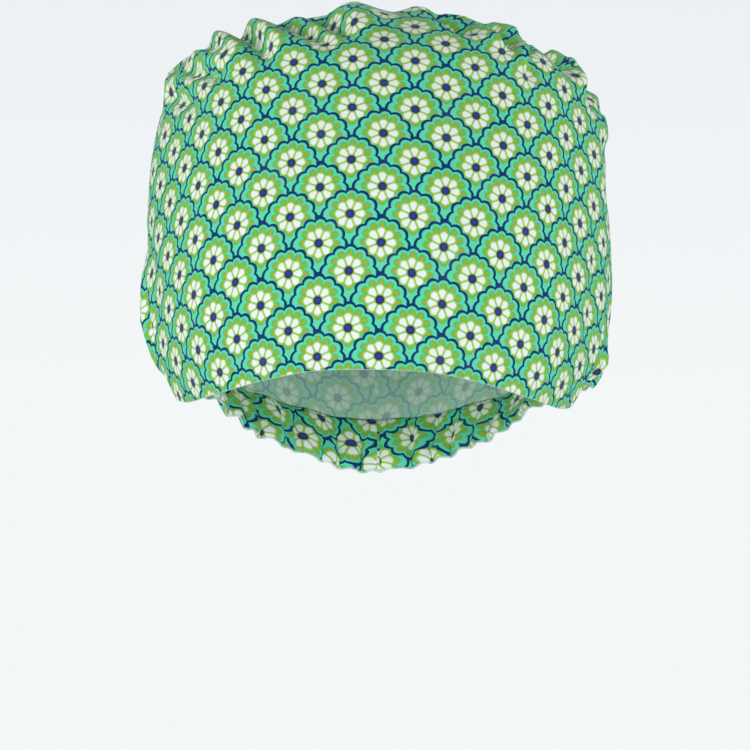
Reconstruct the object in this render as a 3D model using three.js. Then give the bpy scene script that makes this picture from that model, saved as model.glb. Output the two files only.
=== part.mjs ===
import * as THREE from 'three';

// A surgical scrub cap of printed cotton, in the form it takes on a head.
// Millimetres, +Z up. The brow faces -Y and +X is on the right hand of someone facing the cap.
// The origin lies on the middle plane, level with the middle of the brow edge and halfway from
// the brow to the nape.

// Driving dimensions.
const CLOTH = 1.5; // thickness the cotton wall is given
const GAP = 0.3; // clear space between neighbouring pieces
const HEM_THICK = 1.2; // the turned brow hem
const CASING_THICK = 2.6; // two layers of cloth with the elastic between them
const TOP_DOME = 4; // rise of the top panel above its seam

// Facets. The hem and the casing share the wall's own rows and stations, so they lie flat on it.
const WALL_AROUND = 100;
const STATION = 360 / WALL_AROUND;
const WALL_ROWS = [0, 0.05, 0.1, 0.15, 0.2, 0.28, 0.37, 0.46, 0.55, 0.63, 0.7, 0.76, 0.82, 0.88, 0.94, 1];
const STRIP_ROWS = WALL_ROWS.slice(0, 4); // the hem and the casing reach this far up
const TOP_RINGS = 4;
const TEMPLE_STATION = 18; // the hem ends here, and the casing starts at the next station

// Sections of the wall from its lower edge to the crown seam. Each is a smooth closed curve
// through a front [y, z], a side [x, y, z] and a back [y, z] point, so that the tall wall leans
// back as it rises. slim is how far its front quarters lie in from an oval.
const SECTIONS = [
  { name: 'edge', front: [-86, 0], side: [78, 4, -4], back: [95, -40], slim: 5 },
  { name: 'brow', front: [-88.6, 9], side: [84.5, 3, 6], back: [101, -28], slim: 5 },
  { name: 'temple', front: [-91, 21], side: [88, 2, 18], back: [107, -12], slim: 5 },
  { name: 'forehead', front: [-92.3, 37], side: [89, 2, 33], back: [111.5, 8], slim: 5 },
  { name: 'hairline', front: [-89.4, 60], side: [88.2, 3, 53], back: [113.5, 32], slim: 5 },
  { name: 'upper', front: [-82.6, 80], side: [87.2, 5, 71], back: [112, 55], slim: 5 },
  { name: 'shoulder', front: [-73.5, 100], side: [85.6, 10, 88], back: [107, 75], slim: 5 },
  { name: 'bend', front: [-62, 118], side: [83, 13, 101], back: [101, 91], slim: 5 },
  { name: 'crown', front: [-45.5, 129.5], side: [79.2, 17, 109], back: [93, 101], slim: 4 },
  { name: 'puff', front: [-31, 134], side: [72, 21, 115.5], back: [83, 108], slim: 3 },
  { name: 'seam', front: [-20, 133], side: [61, 24, 116.5], back: [73, 109.5], slim: 2 },
];

// Height of the lower edge by azimuth, the same on both sides: a low curve across the brow, a
// rounded corner at the temple, a step up over the ear and a long fall to the nape.
const EDGE = [
  { azimuth: 0, height: 0 },
  { azimuth: 14, height: -0.6 },
  { azimuth: 28, height: -3.6 },
  { azimuth: 48, height: -9.6 },
  { azimuth: 62, height: -13.4 },
  { azimuth: 67, height: -13 },
  { azimuth: 72, height: -6.5 },
  { azimuth: 80, height: -4 },
  { azimuth: 100, height: -5 },
  { azimuth: 125, height: -14 },
  { azimuth: 150, height: -29 },
  { azimuth: 180, height: -40 },
];
const EDGE_FADE = [1, 0.7, 0.35, 0.1]; // share of that curve kept by the lowest sections

// Puckers where the wall is gathered on to the top panel. Each runs slanting down from the seam.
const PUCKERS = [
  { seam: -84, low: -66, wide: 8, height: 2.6 },
  { seam: -62, low: -46, wide: 8, height: 3 },
  { seam: -44, low: -30, wide: 7, height: 3 },
  { seam: -24, low: -12, wide: 8, height: 2.6 },
  { seam: -3, low: 7, wide: 10, height: 3.2 },
  { seam: 24, low: 34, wide: 9, height: 2.4 },
  { seam: 44, low: 54, wide: 8, height: 2.8 },
  { seam: 62, low: 70, wide: 7, height: 2.8 },
  { seam: 82, low: 88, wide: 8, height: 2.6 },
];
const BACK_PUCKERS = { from: 102, to: 258, count: 9, wide: 8, height: 3, slant: 6 };
const PUCKER_FROM = 0.6; // share of the way up at which the puckers begin
const PUCKER_FULL = 0.86;
const PUCKER_SINK = 0.03; // share of its height by which each lowers all the others

// Gathers drawn up by the elastic, round the back from temple to temple.
const GATHERS = { count: 20, height: 1.5, from: 70, full: 110, up_to: 0.3 };

const rad = (degrees) => (degrees * Math.PI) / 180;
const clamp01 = (t) => Math.min(1, Math.max(0, t));
const smooth = (t) => clamp01(t) ** 2 * (3 - 2 * clamp01(t));

// Azimuth as the shorter way round from a centre, -180 to 180.
function turnedFrom(azimuth, centre) {
  return ((((azimuth - centre) % 360) + 540) % 360) - 180;
}

// A curve through values given at whole numbers.
function through(values, t) {
  const last = values.length - 1;
  const k = Math.min(last - 1, Math.max(0, Math.floor(t)));
  const f = t - k;
  const at = (i) => values[Math.min(last, Math.max(0, i))];
  const start = (at(k + 1) - at(k - 1)) / 2;
  const end = (at(k + 2) - at(k)) / 2;
  const f2 = f * f;
  const f3 = f2 * f;
  return (2 * f3 - 3 * f2 + 1) * at(k) + (f3 - 2 * f2 + f) * start
    + (3 * f2 - 2 * f3) * at(k + 1) + (f3 - f2) * end;
}

// A value that passes smoothly from front to side to back with the cosine of the azimuth.
function roundHead(front, side, back, cosine) {
  return side + ((front - back) / 2) * cosine + ((front + back) / 2 - side) * cosine ** 2;
}

// Straight slope between two rows of EDGE.
function edgeSlope(i) {
  const low = EDGE[i];
  const high = EDGE[i + 1];
  return (high.height - low.height) / (high.azimuth - low.azimuth);
}

// Slope of the edge curve at a row: level at the brow, the nape and wherever the edge turns.
function edgeTangent(i) {
  if (i === 0 || i === EDGE.length - 1) return 0;
  const before = edgeSlope(i - 1);
  const after = edgeSlope(i);
  return before * after > 0 ? (2 * before * after) / (before + after) : 0;
}

function edgeHeight(azimuth) {
  const a = Math.abs(turnedFrom(azimuth, 0));
  const i = Math.max(1, EDGE.findIndex((row) => row.azimuth >= a)) - 1;
  const width = EDGE[i + 1].azimuth - EDGE[i].azimuth;
  const f = (a - EDGE[i].azimuth) / width;
  const ends = EDGE[i].height + (EDGE[i + 1].height - EDGE[i].height) * (3 * f * f - 2 * f ** 3);
  const leaving = edgeTangent(i) * (f ** 3 - 2 * f * f + f);
  const arriving = edgeTangent(i + 1) * (f ** 3 - f * f);
  return ends + width * (leaving + arriving);
}

const column = (key, i) => SECTIONS.map((row) => row[key][i]);
const FRONT_Y = column('front', 0);
const FRONT_Z = column('front', 1);
const SIDE_X = column('side', 0);
const SIDE_Y = column('side', 1);
const SIDE_Z = column('side', 2);
const BACK_Y = column('back', 0);
const BACK_Z = column('back', 1);
const SLIM = SECTIONS.map((row) => row.slim);
const SLIM_PEAK = 0.31; // greatest value of the curve that shares slim out over the front

// The smooth wall, before folds: azimuth in degrees from the brow, up from 0 at the edge to 1.
function bare(azimuth, up) {
  const t = up * (SECTIONS.length - 1);
  const a = rad(azimuth);
  const cosine = Math.cos(a);
  const x = through(SIDE_X, t) * Math.sin(a);
  const quarter = (Math.max(0, cosine) * (1 + cosine) * Math.sin(a) ** 2) / 2 / SLIM_PEAK;
  const oval = roundHead(through(FRONT_Y, t), through(SIDE_Y, t), through(BACK_Y, t), cosine);
  const y = oval + through(SLIM, t) * quarter;
  const z = roundHead(through(FRONT_Z, t), through(SIDE_Z, t), through(BACK_Z, t), cosine);
  const plain = roundHead(FRONT_Z[0], SIDE_Z[0], BACK_Z[0], cosine);
  const kept = through([...EDGE_FADE, 0, 0], Math.min(t, EDGE_FADE.length));
  return new THREE.Vector3(x, y, z + (edgeHeight(azimuth) - plain) * kept);
}

const bump = (distance, wide) => Math.exp(-((distance / wide) ** 2) * 2);

function backPuckers() {
  const rows = [];
  for (let i = 0; i < BACK_PUCKERS.count; i += 1) {
    const seam = BACK_PUCKERS.from + ((BACK_PUCKERS.to - BACK_PUCKERS.from) * i) / (BACK_PUCKERS.count - 1);
    rows.push({ seam, low: seam + BACK_PUCKERS.slant, wide: BACK_PUCKERS.wide, height: BACK_PUCKERS.height });
  }
  return rows;
}

const ALL_PUCKERS = [...PUCKERS, ...backPuckers()];

// How far folds stand out of the smooth wall.
function folds(azimuth, up) {
  let out = 0;
  const rise = (up - PUCKER_FROM) / (PUCKER_FULL - PUCKER_FROM);
  if (rise > 0) {
    const strength = smooth(rise) * smooth((1 - up) / (1 - PUCKER_FULL));
    for (const row of ALL_PUCKERS) {
      const centre = row.low + (row.seam - row.low) * smooth((up - PUCKER_FROM) / (1 - PUCKER_FROM));
      out += row.height * strength * (bump(turnedFrom(azimuth, centre), row.wide) - PUCKER_SINK);
    }
  }
  const a = Math.abs(turnedFrom(azimuth, 0));
  const drawn = smooth((a - GATHERS.from) / (GATHERS.full - GATHERS.from)) * smooth(1 - up / GATHERS.up_to);
  return out + GATHERS.height * drawn * Math.cos(rad(azimuth) * GATHERS.count);
}

function directions(azimuth, up) {
  const step = 0.002;
  const round = bare(azimuth + 0.5, up).sub(bare(azimuth - 0.5, up)).normalize();
  const low = Math.max(0, up - step);
  const rise = bare(azimuth, Math.min(1, up + step)).sub(bare(azimuth, low)).normalize();
  const out = new THREE.Vector3().crossVectors(round, rise).normalize();
  return { out, rise };
}

// A point of the wall, a given depth in from its outer face.
function wallPoint(azimuth, up, depth = 0) {
  const { out } = directions(azimuth, up);
  return bare(azimuth, up).addScaledVector(out, folds(azimuth, up) - depth);
}

function mesh(name, points, triangles, material) {
  const geometry = new THREE.BufferGeometry();
  geometry.setAttribute('position', new THREE.Float32BufferAttribute(points.flatMap((p) => p.toArray()), 3));
  geometry.setIndex(triangles);
  geometry.computeVertexNormals();
  const piece = new THREE.Mesh(geometry, material);
  piece.name = name;
  return piece;
}

// Sections of equal length joined in a row; a ring also joins its last section to its first.
function skin(sections, ring) {
  const size = sections[0].length;
  const triangles = [];
  const count = sections.length;
  const spans = ring ? count : count - 1;
  for (let i = 0; i < spans; i += 1) {
    const here = i * size;
    const next = ((i + 1) % count) * size;
    for (let j = 0; j < size; j += 1) {
      const k = (j + 1) % size;
      triangles.push(here + j, next + j, next + k, here + j, next + k, here + k);
    }
  }
  if (!ring) {
    const end = (count - 1) * size;
    for (let j = 1; j < size - 1; j += 1) {
      triangles.push(0, j, j + 1);
      triangles.push(end, end + j + 1, end + j);
    }
  }
  return triangles;
}

const PRINTED = new THREE.MeshStandardMaterial({ color: 0x6fc49a, roughness: 0.85, metalness: 0 });
const HEMMED = new THREE.MeshStandardMaterial({ color: 0x7cc9a6, roughness: 0.85, metalness: 0 });

function crownWall() {
  const sections = [];
  for (let i = 0; i < WALL_AROUND; i += 1) {
    const azimuth = i * STATION;
    const outside = [];
    const inside = [];
    for (const up of WALL_ROWS) {
      outside.push(wallPoint(azimuth, up));
      inside.unshift(wallPoint(azimuth, up, CLOTH));
    }
    sections.push([...outside, ...inside]);
  }
  return mesh('crown_wall', sections.flat(), skin(sections, true), PRINTED);
}

// A strip sewn inside the lower edge of the wall, between two of its stations.
function innerStrip(name, from, to, thick, material) {
  const sections = [];
  const near = CLOTH + GAP;
  for (let i = from; i <= to; i += 1) {
    const outside = STRIP_ROWS.map((up) => wallPoint(i * STATION, up, near));
    const inside = STRIP_ROWS.map((up) => wallPoint(i * STATION, up, near + thick)).reverse();
    sections.push([...outside, ...inside]);
  }
  return mesh(name, sections.flat(), skin(sections, false), material);
}

function crownTop() {
  const upper = [];
  const lower = [];
  const centre = bare(90, 1).add(bare(270, 1)).multiplyScalar(0.5);
  const middleZ = centre.z + TOP_DOME;
  for (let r = 0; r < TOP_RINGS; r += 1) {
    const share = 1 - r / TOP_RINGS;
    for (let i = 0; i < WALL_AROUND; i += 1) {
      const azimuth = (360 * i) / WALL_AROUND;
      const { out, rise } = directions(azimuth, 1);
      const edge = wallPoint(azimuth, 1).addScaledVector(rise, GAP);
      const dome = TOP_DOME * (1 - share ** 2);
      const point = edge.clone().lerp(centre, 1 - share);
      point.z += dome;
      upper.push(point);
      const under = edge.clone().addScaledVector(out, -CLOTH).lerp(centre, 1 - share);
      under.z = (share === 1 ? under.z : point.z - CLOTH);
      lower.push(under);
    }
  }
  const points = [...upper, ...lower];
  const top = points.push(new THREE.Vector3(centre.x, centre.y, middleZ)) - 1;
  const bottom = points.push(new THREE.Vector3(centre.x, centre.y, middleZ - CLOTH)) - 1;
  const triangles = [];
  const under = upper.length;
  for (let i = 0; i < WALL_AROUND; i += 1) {
    const k = (i + 1) % WALL_AROUND;
    for (let r = 0; r < TOP_RINGS - 1; r += 1) {
      const a = r * WALL_AROUND;
      const b = a + WALL_AROUND;
      triangles.push(a + i, a + k, b + k, a + i, b + k, b + i);
      triangles.push(under + a + i, under + b + k, under + a + k);
      triangles.push(under + a + i, under + b + i, under + b + k);
    }
    const last = (TOP_RINGS - 1) * WALL_AROUND;
    triangles.push(last + i, last + k, top);
    triangles.push(under + last + k, under + last + i, bottom);
    triangles.push(i, under + i, under + k, i, under + k, k);
  }
  return mesh('crown_top', points, triangles, PRINTED);
}

const cap = new THREE.Group();
cap.add(crownWall());
cap.add(crownTop());
cap.add(innerStrip('brow_hem', -TEMPLE_STATION, TEMPLE_STATION, HEM_THICK, HEMMED));
const casingStart = TEMPLE_STATION + 1;
cap.add(innerStrip('nape_casing', casingStart, WALL_AROUND - casingStart, CASING_THICK, HEMMED));

export default cap;
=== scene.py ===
# %% [markdown]
# # A surgical scrub cap in printed cotton
#
# The cap is one tall wall of cotton that wraps round the head, drawn up on to an oval top, with
# a clean turned hem over the brow and elastic in a casing from temple to temple round the nape.
# This lesson builds its looks round a finished CAD frame: first the form of the cloth, then its
# folds, then the pieces sewn to it, then the print, the weave, the light and the camera.

# %% Load the frame
import math
import bpy
import numpy as np
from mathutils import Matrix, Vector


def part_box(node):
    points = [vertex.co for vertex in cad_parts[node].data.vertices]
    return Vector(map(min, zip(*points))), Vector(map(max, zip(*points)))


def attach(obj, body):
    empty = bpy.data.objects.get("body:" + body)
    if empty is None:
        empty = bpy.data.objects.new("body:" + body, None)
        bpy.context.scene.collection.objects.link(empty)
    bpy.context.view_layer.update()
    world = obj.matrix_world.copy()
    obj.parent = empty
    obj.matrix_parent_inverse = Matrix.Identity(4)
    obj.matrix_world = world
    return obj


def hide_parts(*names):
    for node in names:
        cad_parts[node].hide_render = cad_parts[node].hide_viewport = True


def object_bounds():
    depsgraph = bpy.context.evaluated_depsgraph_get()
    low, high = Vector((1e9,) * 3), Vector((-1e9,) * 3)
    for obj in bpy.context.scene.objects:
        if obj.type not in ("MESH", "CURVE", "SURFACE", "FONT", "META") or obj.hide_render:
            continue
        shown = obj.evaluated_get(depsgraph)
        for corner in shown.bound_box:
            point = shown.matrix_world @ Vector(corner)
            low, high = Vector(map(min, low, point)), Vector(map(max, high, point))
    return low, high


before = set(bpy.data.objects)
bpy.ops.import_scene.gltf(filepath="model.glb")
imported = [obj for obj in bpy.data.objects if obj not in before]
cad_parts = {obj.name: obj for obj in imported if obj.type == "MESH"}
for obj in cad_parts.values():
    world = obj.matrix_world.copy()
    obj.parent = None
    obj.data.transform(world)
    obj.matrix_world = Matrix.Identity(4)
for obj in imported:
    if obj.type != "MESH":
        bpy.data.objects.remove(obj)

MM = 0.001
cad_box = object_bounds()
cad_low, cad_high = (np.array(corner) for corner in cad_box)
cad_middle = (cad_low + cad_high) / 2
wall_low, wall_high = (np.array(corner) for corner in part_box("crown_wall"))
print("wall of the frame, mm:", np.round((wall_high - wall_low) / MM, 1))

# %% [markdown]
# ## The form of the wall
#
# A worn cap is not a cylinder: the brow stands nearly upright, then the front leans back, and the
# back hangs full. It could be sculpted, or lofted through curves. Here it is a small table: each
# row is a section that passes through a front, a side and a back point, and a curve through the
# rows makes the surface. A table keeps the form easy to read and to change. Two more curves finish
# it: one slims the front quarters, and one squares the temples, where a head is flat.

# %% Sections of the wall, in millimetres
# columns: front y, front z, side x, side y, side z, back y, back z, slim, square
SECTIONS = np.array([
    (-86.0, 0.0, 78.0, 4.0, -4.0, 95.0, -40.0, 5.0, 12.0),      # edge
    (-88.6, 9.0, 84.5, 3.0, 6.0, 101.0, -28.0, 5.0, 10.0),      # brow
    (-91.0, 21.0, 88.0, 2.0, 18.0, 107.0, -12.0, 5.0, 8.0),     # temple
    (-92.3, 37.0, 89.0, 2.0, 33.0, 111.5, 8.0, 5.0, 6.0),       # forehead
    (-89.4, 60.0, 88.2, 3.0, 53.0, 113.5, 32.0, 5.0, 5.0),      # hairline
    (-82.6, 80.0, 87.2, 5.0, 71.0, 112.0, 55.0, 5.0, 5.0),      # upper
    (-73.5, 100.0, 85.6, 10.0, 88.0, 107.0, 75.0, 5.0, 5.0),    # shoulder
    (-62.0, 118.0, 83.0, 13.0, 101.0, 101.0, 91.0, 5.0, 4.0),   # bend
    (-45.5, 129.5, 79.2, 17.0, 109.0, 93.0, 101.0, 4.0, 2.0),   # crown
    (-31.0, 134.0, 72.0, 21.0, 115.5, 83.0, 108.0, 3.0, 0.0),   # puff
    (-20.0, 133.0, 61.0, 24.0, 116.5, 73.0, 109.5, 2.0, 0.0),   # seam
])
LEVELS = len(SECTIONS) - 1
# columns: azimuth in degrees from the brow, height of the lower edge
EDGE = np.array([
    (0, 0.0), (14, -0.6), (28, -3.6), (48, -9.6), (66, -13.4), (73, -13.0),
    (77, -6.0), (84, -2.6), (92, -1.0), (104, -1.6), (125, -12.5), (150, -29.0), (180, -40.0),
])
EDGE_FADE = np.array([1.0, 0.7, 0.35, 0.1, 0.0, 0.0])  # share of that curve kept going up
SLIM_PEAK = 0.31  # greatest value of the curve that slims the front quarters
SQUARE_AT, SQUARE_HALF = 72.0, 28.0  # azimuths at which the temples are squared


def smooth(t):
    """A soft step from 0 to 1."""
    t = np.clip(t, 0.0, 1.0)
    return t * t * (3 - 2 * t)


def turned(azimuth):
    """An angle brought between -180 and 180 degrees."""
    return (np.asarray(azimuth) + 180.0) % 360.0 - 180.0


def through(values, t):
    """A curve through values given at whole numbers."""
    last = len(values) - 1
    k = np.clip(np.floor(t).astype(int), 0, last - 1)
    f = t - k
    near = [values[np.clip(k + step, 0, last)] for step in (-1, 0, 1, 2)]
    start, end = (near[2] - near[0]) / 2, (near[3] - near[1]) / 2
    held = (2 * f**3 - 3 * f**2 + 1) * near[1] + (3 * f**2 - 2 * f**3) * near[2]
    return held + (f**3 - 2 * f**2 + f) * start + (f**3 - f**2) * end


def edge_height(azimuth):
    """Height of the lower edge, level at the brow, the nape and wherever it turns."""
    at, height = EDGE[:, 0], EDGE[:, 1]
    slope = np.diff(height) / np.diff(at)
    before, after = slope[:-1], slope[1:]
    same_way = before * after > 0
    mean = np.where(same_way, 2 * before * after / np.where(same_way, before + after, 1.0), 0.0)
    tangent = np.concatenate([[0.0], mean, [0.0]])
    a = np.abs(turned(azimuth))
    i = np.clip(np.searchsorted(at, a), 1, len(at) - 1) - 1
    width = at[i + 1] - at[i]
    f = (a - at[i]) / width
    held = height[i] + (height[i + 1] - height[i]) * (3 * f**2 - 2 * f**3)
    leaving = tangent[i] * (f**3 - 2 * f**2 + f)
    arriving = tangent[i + 1] * (f**3 - f**2)
    return held + width * (leaving + arriving)


def bare(azimuth, level):
    """The smooth wall before its folds: degrees from the brow, and level from 0 to LEVELS."""
    azimuth, level = np.broadcast_arrays(np.asarray(azimuth, float), np.asarray(level, float))
    cosine, sine = np.cos(np.radians(azimuth)), np.sin(np.radians(azimuth))
    front_y, front_z, side_x, side_y, side_z, back_y, back_z, slim, square = (
        through(SECTIONS[:, i], level) for i in range(SECTIONS.shape[1]))

    def round_head(front, side, back):
        return side + (front - back) / 2 * cosine + ((front + back) / 2 - side) * cosine**2

    quarter = np.maximum(cosine, 0) * (1 + cosine) * sine**2 / 2 / SLIM_PEAK
    temple = np.clip(1 - ((np.abs(turned(azimuth)) - SQUARE_AT) / SQUARE_HALF) ** 2, 0, 1) ** 2
    y = round_head(front_y, side_y, back_y) + slim * quarter + square * temple
    z = round_head(front_z, side_z, back_z)
    edge_front, edge_side, edge_back = SECTIONS[0, [1, 4, 6]]
    plain = round_head(edge_front, edge_side, edge_back)
    kept = through(EDGE_FADE, np.minimum(level, len(EDGE_FADE) - 2.0))
    return np.stack([side_x * sine, y, z + (edge_height(azimuth) - plain) * kept], axis=-1)


print("front of the brow edge:", bare(0, 0), " top of the front:", bare(0, LEVELS - 1))

# %% [markdown]
# ## A grid of cloth
#
# A surface that is going to carry a print has to know how far each point lies along the cloth and
# up the cloth. Guessing that from the position stretches the print at every fold. So the grid is
# laid with even steps, and its steps are added up along each row and each column, as a tape
# measure would.

# %% Lay the grid and measure it
AROUND = 480  # steps round the head
STEP = 1.3  # millimetres between rows
FINE_PLACES = 2001  # places up the front at which its length is measured
PRINT_ROW_TILT = 11.3  # degrees by which the rows of the print lean down to the back
PRINT_ROW_START = 20.0  # height of the row that the print is measured from, at the brow


def added_up(steps, axis):
    """Lengths from the first point of a grid, from the steps between its points."""
    start = np.zeros_like(np.take(steps, [0], axis=axis))
    return np.concatenate([start, np.cumsum(steps, axis=axis)], axis=axis)


def arc(points, axis):
    """Lengths along the rows or the columns of a grid of points."""
    return added_up(np.linalg.norm(np.diff(points, axis=axis), axis=-1), axis)


fine = np.linspace(0, LEVELS, FINE_PLACES)
front_length = arc(bare(0.0, fine)[None], 1)[0]
rows = int(round(front_length[-1] / STEP))
levels = np.interp(np.linspace(0, front_length[-1], rows + 1), front_length, fine)
azimuths = -180.0 + 360.0 * np.arange(AROUND + 1) / AROUND
grid = bare(azimuths[:, None], levels[None, :])
middle = AROUND // 2
form_low, form_high = grid.min((0, 1)) * MM, grid.max((0, 1)) * MM
fit = (wall_high - wall_low) / (form_high - form_low)
print("the form is scaled to the frame's wall by", np.round(fit, 3))

along = arc(grid, 0)
along -= along[middle]
up = arc(grid, 1)
lean = math.tan(math.radians(PRINT_ROW_TILT))
above_start = grid[..., 2] + lean * (grid[..., 1] - grid[middle, 0, 1]) - PRINT_ROW_START
for i in range(AROUND + 1):
    up[i] -= np.interp(0.0, above_start[i], up[i])
half_way = along[-1, rows // 2]
print(f"grid {AROUND} x {rows}, half way round {half_way:.0f} mm, front {front_length[-1]:.0f} mm high")

# %% [markdown]
# ## Folds
#
# Cloth that is drawn on to a smaller seam throws rolls, and where the cap is pulled round the head
# the rolls all slant the same way. A cloth simulation makes folds, but not these folds. So each
# large one is a row in a table: a line on the cloth from one place to another, how wide and how
# high, with the low ones as valleys. Small ones follow from a formula with seeded chance.

# %% Tables of folds, in millimetres along and up the cloth
# columns: from along, from up, to along, to up, half width, height (valleys are negative)
CROWN_FOLDS = (
    (-72, 130, -57, 108, 4.8, 3.4), (-61, 134, -46, 104, 4.2, -4.2),
    (-54, 136, -37, 108, 4.6, 3.2), (-43, 138, -19, 107, 4.0, -4.6),
    (-35, 140, -17, 109, 4.6, 2.0), (-27, 141, -13, 113, 4.2, -5.4),
    (-33, 141, -22, 118, 11.0, -1.6), (-11, 144, -8, 117, 7.5, 3.4),
    (4, 143, 6, 128, 4.0, -0.6), (12, 143, 28, 120, 4.8, 2.2),
    (20, 135, 33, 120, 4.2, -6.4), (24, 140, 35, 135, 3.4, 1.2), (40, 128, 47, 112, 4.0, 3.4),
    (42, 131, 55, 115, 4.2, -7.0), (44, 136, 57, 131, 3.6, 2.4), (57, 118, 60, 104, 3.6, 4.2),
    (61, 124, 62, 98, 2.6, -2.6), (60, 134, 72, 125, 4.6, -3.8), (70, 123, 90, 109, 4.2, -5.6),
    (75, 127, 85, 121, 4.2, 1.2), (86, 118, 99, 103, 5.0, 3.2), (103, 113, 113, 98, 5.0, -3.4),
    (107, 121, 117, 108, 7.0, -3.4), (122, 98, 124, 86, 7.0, 1.8),
    (-92, 108, -68, 98, 3.6, -3.4), (-86, 118, -62, 104, 4.6, 1.6),
    (-84, 130, -70, 112, 3.6, -1.0), (-112, 101, -86, 90, 4.0, -2.8),
    (-112, 112, -90, 101, 5.0, 0.8),
)
SIDE_FOLDS = (
    (-137, 34, -124, -8, 3.6, 2.0), (-131, 26, -122, -10, 2.4, -2.2),
    (-144, 20, -125, -12, 3.0, 1.6), (-128, 46, -112, 12, 6.0, -1.0),
    (-152, 48, -148, 26, 14.0, -1.6), (-154, 14, -146, 0, 10.0, 1.6), (-126, 104, -124, 84, 8.0, -1.2),
    (127, -18, 128, -9, 2.2, -5.5), (124, -18, 125, -9, 1.8, 1.2), (130, -11, 141, -5, 1.8, 1.4),
    (130, -7, 141, 1, 1.6, -1.4), (129, -3, 140, 8, 1.8, 1.2), (138, -1, 166, 4, 11.0, 5.4),
    (108, 6, 112, 44, 5.0, -1.0), (120, 60, 108, 92, 7.0, 1.0),
    (128, 98, 134, 74, 10.0, 0.8), (126, 86, 130, 62, 10.0, -1.0),
)


FOLD_START, FOLD_GROWS = -0.25, 0.35  # in shares of a row's length: where a fold starts, and its rise
FOLD_STOP, FOLD_FADES = 1.3, 0.6  # where it stops, and its fall


def fold(s, t, row):
    """Height of one fold at places s along and t up the cloth."""
    from_s, from_t, to_s, to_t, wide, high = row
    run_s, run_t = to_s - from_s, to_t - from_t
    length = math.hypot(run_s, run_t)
    share = ((s - from_s) * run_s + (t - from_t) * run_t) / length**2
    off = ((s - from_s) * run_t - (t - from_t) * run_s) / length
    ends = smooth((share - FOLD_START) / FOLD_GROWS) * smooth((FOLD_STOP - share) / FOLD_FADES)
    return high * ends * np.exp(-((off / wide) ** 2))


print(len(CROWN_FOLDS), "folds at the crown,", len(SIDE_FOLDS), "at the sides")

# %% [markdown]
# ## Gathers
#
# Behind the ears nobody placed the folds: they are what is left when cloth is drawn in evenly.
# Repeating one wave would look like a pie crust. So each gather starts at an even spacing and is
# then moved a little, and its width, height and reach are drawn by chance with a fixed seed.

# %% Sum the folds over the grid
chance = np.random.default_rng(7)
SIDE_FROM, SIDE_BLEND = 62, 25  # degrees from the brow where side gathers start, and in which they grow
CROWN_FROM, CROWN_FULL = 6.2, 8.6  # levels between which the gathers of the crown grow
BACK_GATHERS, BACK_FROM = 15, 88  # how many, and the degrees from the brow at which they start
NAPE_GATHERS, NAPE_FROM = 34, 74
NAPE_UP = 4.2  # level at which the nape's gathers have died away

height = np.zeros_like(along)
for row in CROWN_FOLDS + SIDE_FOLDS:
    height += fold(along, up, row)

level_grid = np.broadcast_to(levels[None, :], along.shape)
azimuth_grid = np.broadcast_to(azimuths[:, None], along.shape)
side_share = smooth((np.abs(azimuth_grid) - SIDE_FROM) / SIDE_BLEND)


def roll(distance, wide):
    """A rounded roll, less its own mean round the head, so that rolls don't swell the cap."""
    return np.exp(-((distance / wide) ** 2)) - wide * math.sqrt(math.pi) / 360


back_starts = np.linspace(BACK_FROM, 360 - BACK_FROM, BACK_GATHERS)
back_starts += chance.uniform(-4, 4, BACK_GATHERS)
for start in back_starts:
    lean_over = chance.uniform(5, 14)
    wide = chance.uniform(3.2, 5.0)
    high = chance.uniform(2.2, 3.8)
    reach = chance.uniform(0.0, 1.4)
    rise = (level_grid - CROWN_FROM + reach) / (CROWN_FULL - CROWN_FROM + reach)
    centre = start + lean_over * (1 - smooth(rise))
    height += high * smooth(rise) * roll(turned(azimuth_grid - centre), wide)

nape_starts = np.linspace(NAPE_FROM, 360 - NAPE_FROM, NAPE_GATHERS)
nape_starts += chance.uniform(-1.8, 1.8, NAPE_GATHERS)
for start in nape_starts:
    wide = chance.uniform(1.5, 2.4)
    high = chance.uniform(2.0, 3.8)
    reach = NAPE_UP * chance.uniform(0.5, 1.1)
    drift = chance.uniform(-3, 3)
    fall = smooth(1 - level_grid / reach)
    centre = start + drift * (1 - fall)
    height += high * fall * side_share * roll(turned(azimuth_grid - centre), wide * (2 - fall))

print(len(back_starts), "gathers at the crown and", len(nape_starts), "at the nape")

# %% [markdown]
# ## Between the folds
#
# Worn cotton is never quite even, even where it has no fold: a hand would feel wide, soft swells and
# dents. A noise texture could push the points about, but it would ruffle the seams too. So the swells
# are added first. Then everything dies away into the crown seam and the brow's edge, which are sewn,
# and a groove marks the seam at the back.

# %% Add soft dents and flatten the seams
SOFT_DENTS = 26
SEWN_LEVELS = 0.7  # levels under the crown seam in which folds die away
FLAT_LEVELS = 0.9  # levels over the brow edge in which the cloth lies flat
BACK_SEAM_DEEP, BACK_SEAM_HALF = 0.7, 1.1  # millimetres
BACK_MM_A_DEGREE = 1.7  # millimetres round the back for one degree

for _ in range(SOFT_DENTS):
    centre_s, centre_t = chance.uniform(-270, 270), chance.uniform(0, 130)
    wide = chance.uniform(14, 34)
    high = chance.uniform(-0.7, 0.7)
    height += high * np.exp(-((along - centre_s) ** 2 + (up - centre_t) ** 2) / wide**2)

sewn = smooth((LEVELS - level_grid) / SEWN_LEVELS)
front_edge = 1 - (1 - side_share) * smooth(1 - level_grid / FLAT_LEVELS)
height *= sewn * front_edge
from_back_seam = turned(azimuth_grid - 180) * BACK_MM_A_DEGREE
height -= BACK_SEAM_DEEP * np.exp(-((from_back_seam / BACK_SEAM_HALF) ** 2))
print(f"folds stand from {height.min():.1f} to {height.max():.1f} mm")

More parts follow.
